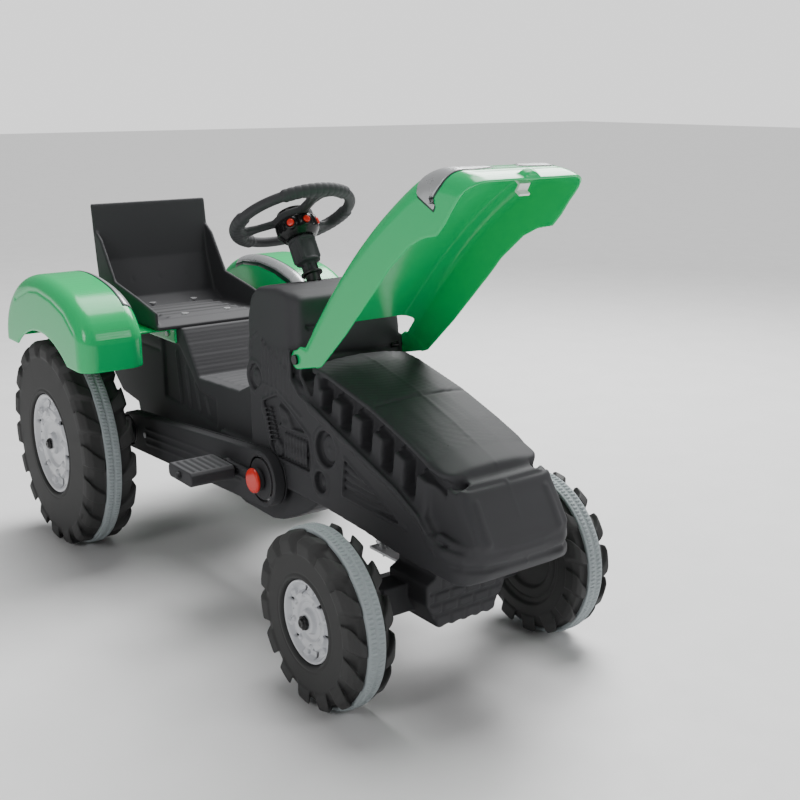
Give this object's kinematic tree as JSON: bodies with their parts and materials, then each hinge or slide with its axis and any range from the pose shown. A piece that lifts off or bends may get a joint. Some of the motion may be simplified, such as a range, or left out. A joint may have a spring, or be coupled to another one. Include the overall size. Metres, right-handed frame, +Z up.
{
  "type": "ride-on pedal tractor",
  "caption": "Child's pedal tractor with a lifting hood over a moulded engine block, a steering column with push buttons, lugged wheels with grip rings, a seat, fenders and a chain drive.",
  "frame": {"origin": "middle of the footprint's bounding box, on the ground, with the hood raised", "axes": "+X forward, +Y to the driver's left, +Z up"},
  "size_m": [1.142, 0.524, 0.6823],
  "materials": {
    "black_moulding": "fine satin",
    "tyre_black": "fine satin",
    "grey_rubber": "matt",
    "silver_plastic": "satin metallic",
    "green_plastic": "gloss",
    "red_plastic": "gloss",
    "white_plastic": "satin",
    "steel": "bright zinc",
    "nylon": "matt"
  },
  "bodies": {
    "body": {"body_shell": "black_moulding", "front_axle_beam": "black_moulding", "front_axle_bolts": "steel", "kingpins": "steel", "steering_bushes": "nylon", "crank_bushes": "nylon", "rear_axle_bushes": "nylon", "hood_hinge_pins": "black_moulding", "chain_case_plate": "black_moulding", "chain_case_cover": "black_moulding", "chain_case_screws": "steel", "drive_chain": "steel", "fender_right": "green_plastic", "fender_left": "green_plastic", "fender_screws": "steel", "seat_shell": "black_moulding", "seat_bolts": "steel", "tow_hitch": "black_moulding"},
    "hood": {"hood_shell": "green_plastic", "hood_catch": "white_plastic"},
    "steering": {"steering_shaft": "steel", "steering_sleeve": "black_moulding", "steering_boss": "black_moulding", "steering_wheel": "black_moulding", "steering_cap": "black_moulding"},
    "button_right": {"steering_button_right": "red_plastic"},
    "button_centre": {"steering_button_centre": "red_plastic"},
    "button_left": {"steering_button_left": "red_plastic"},
    "knuckle_right": {"knuckle_right": "steel", "front_right_axle_cap": "black_moulding"},
    "knuckle_left": {"knuckle_left": "steel", "front_left_axle_cap": "black_moulding"},
    "tie_rod": {"tie_rod": "steel"},
    "front_wheel_right": {"front_right_tyre": "tyre_black", "front_right_grip_ring": "grey_rubber", "front_right_rim": "silver_plastic"},
    "front_wheel_left": {"front_left_tyre": "tyre_black", "front_left_grip_ring": "grey_rubber", "front_left_rim": "silver_plastic"},
    "rear_axle": {"rear_axle": "steel", "rear_spacers": "black_moulding", "rear_sprocket": "steel", "rear_right_tyre": "tyre_black", "rear_right_grip_ring": "grey_rubber", "rear_right_rim": "silver_plastic", "rear_right_axle_cap": "black_moulding", "rear_left_axle_cap": "black_moulding"},
    "rear_wheel_left": {"rear_left_tyre": "tyre_black", "rear_left_grip_ring": "grey_rubber", "rear_left_rim": "silver_plastic"},
    "crank": {"crank_shaft": "steel", "crank_arm_right": "black_moulding", "crank_arm_left": "black_moulding", "crank_cap_right": "red_plastic", "crank_cap_left": "red_plastic", "chain_wheel": "steel"},
    "pedal_right": {"pedal_right": "black_moulding"},
    "pedal_left": {"pedal_left": "black_moulding"}
  },
  "joints": [
    {"name": "hood_hinge", "type": "hinge", "parent": "body", "child": "hood", "pos_m": [0.184, 0, 0.404], "axis": [0, 1, 0], "range_deg": [0, 58]},
    {"name": "steering_turn", "type": "hinge", "parent": "body", "child": "steering", "pos_m": [0.089, 0, 0.495], "axis": [-0.515, 0, 0.8572], "range_deg": [-30, 30]},
    {"name": "steer_right", "type": "hinge", "parent": "body", "child": "knuckle_right", "pos_m": [0.391, -0.125, 0.12], "axis": [0, 0, 1], "range_deg": [-30, 30]},
    {"name": "steer_left", "type": "hinge", "parent": "body", "child": "knuckle_left", "pos_m": [0.391, 0.125, 0.12], "axis": [0, 0, 1], "range_deg": [-30, 30]},
    {"name": "tie_rod_pivot", "type": "hinge", "parent": "knuckle_right", "child": "tie_rod", "pos_m": [0.346, -0.125, 0.1235], "axis": [0, 0, 1], "range_deg": [-30, 30]},
    {"name": "front_wheel_right_spin", "type": "hinge", "parent": "knuckle_right", "child": "front_wheel_right", "pos_m": [0.391, -0.182, 0.12], "axis": [0, 1, 0], "continuous": true},
    {"name": "front_wheel_left_spin", "type": "hinge", "parent": "knuckle_left", "child": "front_wheel_left", "pos_m": [0.391, 0.182, 0.12], "axis": [0, 1, 0], "continuous": true},
    {"name": "rear_axle_spin", "type": "hinge", "parent": "body", "child": "rear_axle", "pos_m": [-0.369, 0, 0.18], "axis": [0, 1, 0], "continuous": true},
    {"name": "rear_wheel_left_spin", "type": "hinge", "parent": "rear_axle", "child": "rear_wheel_left", "pos_m": [-0.369, 0.215, 0.18], "axis": [0, 1, 0], "continuous": true},
    {"name": "crank_spin", "type": "hinge", "parent": "body", "child": "crank", "pos_m": [0.106, 0, 0.213], "axis": [0, 1, 0], "continuous": true},
    {"name": "pedal_right_spin", "type": "hinge", "parent": "crank", "child": "pedal_right", "pos_m": [0.016, -0.1135, 0.213], "axis": [0, 1, 0], "continuous": true},
    {"name": "pedal_left_spin", "type": "hinge", "parent": "crank", "child": "pedal_left", "pos_m": [0.196, 0.1135, 0.213], "axis": [0, 1, 0], "continuous": true},
    {"name": "button_right_press", "type": "slide", "parent": "steering", "child": "button_right", "axis": [-0.6061, 0.7071, -0.3642], "range_m": [0, 0.0015], "stiffness_N_per_m": 300},
    {"name": "button_centre_press", "type": "slide", "parent": "steering", "child": "button_centre", "axis": [-0.8572, 0, -0.515], "range_m": [0, 0.0015], "stiffness_N_per_m": 300},
    {"name": "button_left_press", "type": "slide", "parent": "steering", "child": "button_left", "axis": [-0.6061, -0.7071, -0.3642], "range_m": [0, 0.0015], "stiffness_N_per_m": 300}
  ],
  "couplings": [
    {"joint": "steer_right", "follows": "steering_turn", "ratio": 1},
    {"joint": "steer_left", "follows": "steering_turn", "ratio": 1},
    {"joint": "tie_rod_pivot", "follows": "steering_turn", "ratio": -1},
    {"joint": "crank_spin", "follows": "rear_axle_spin", "ratio": 0.625}
  ]
}
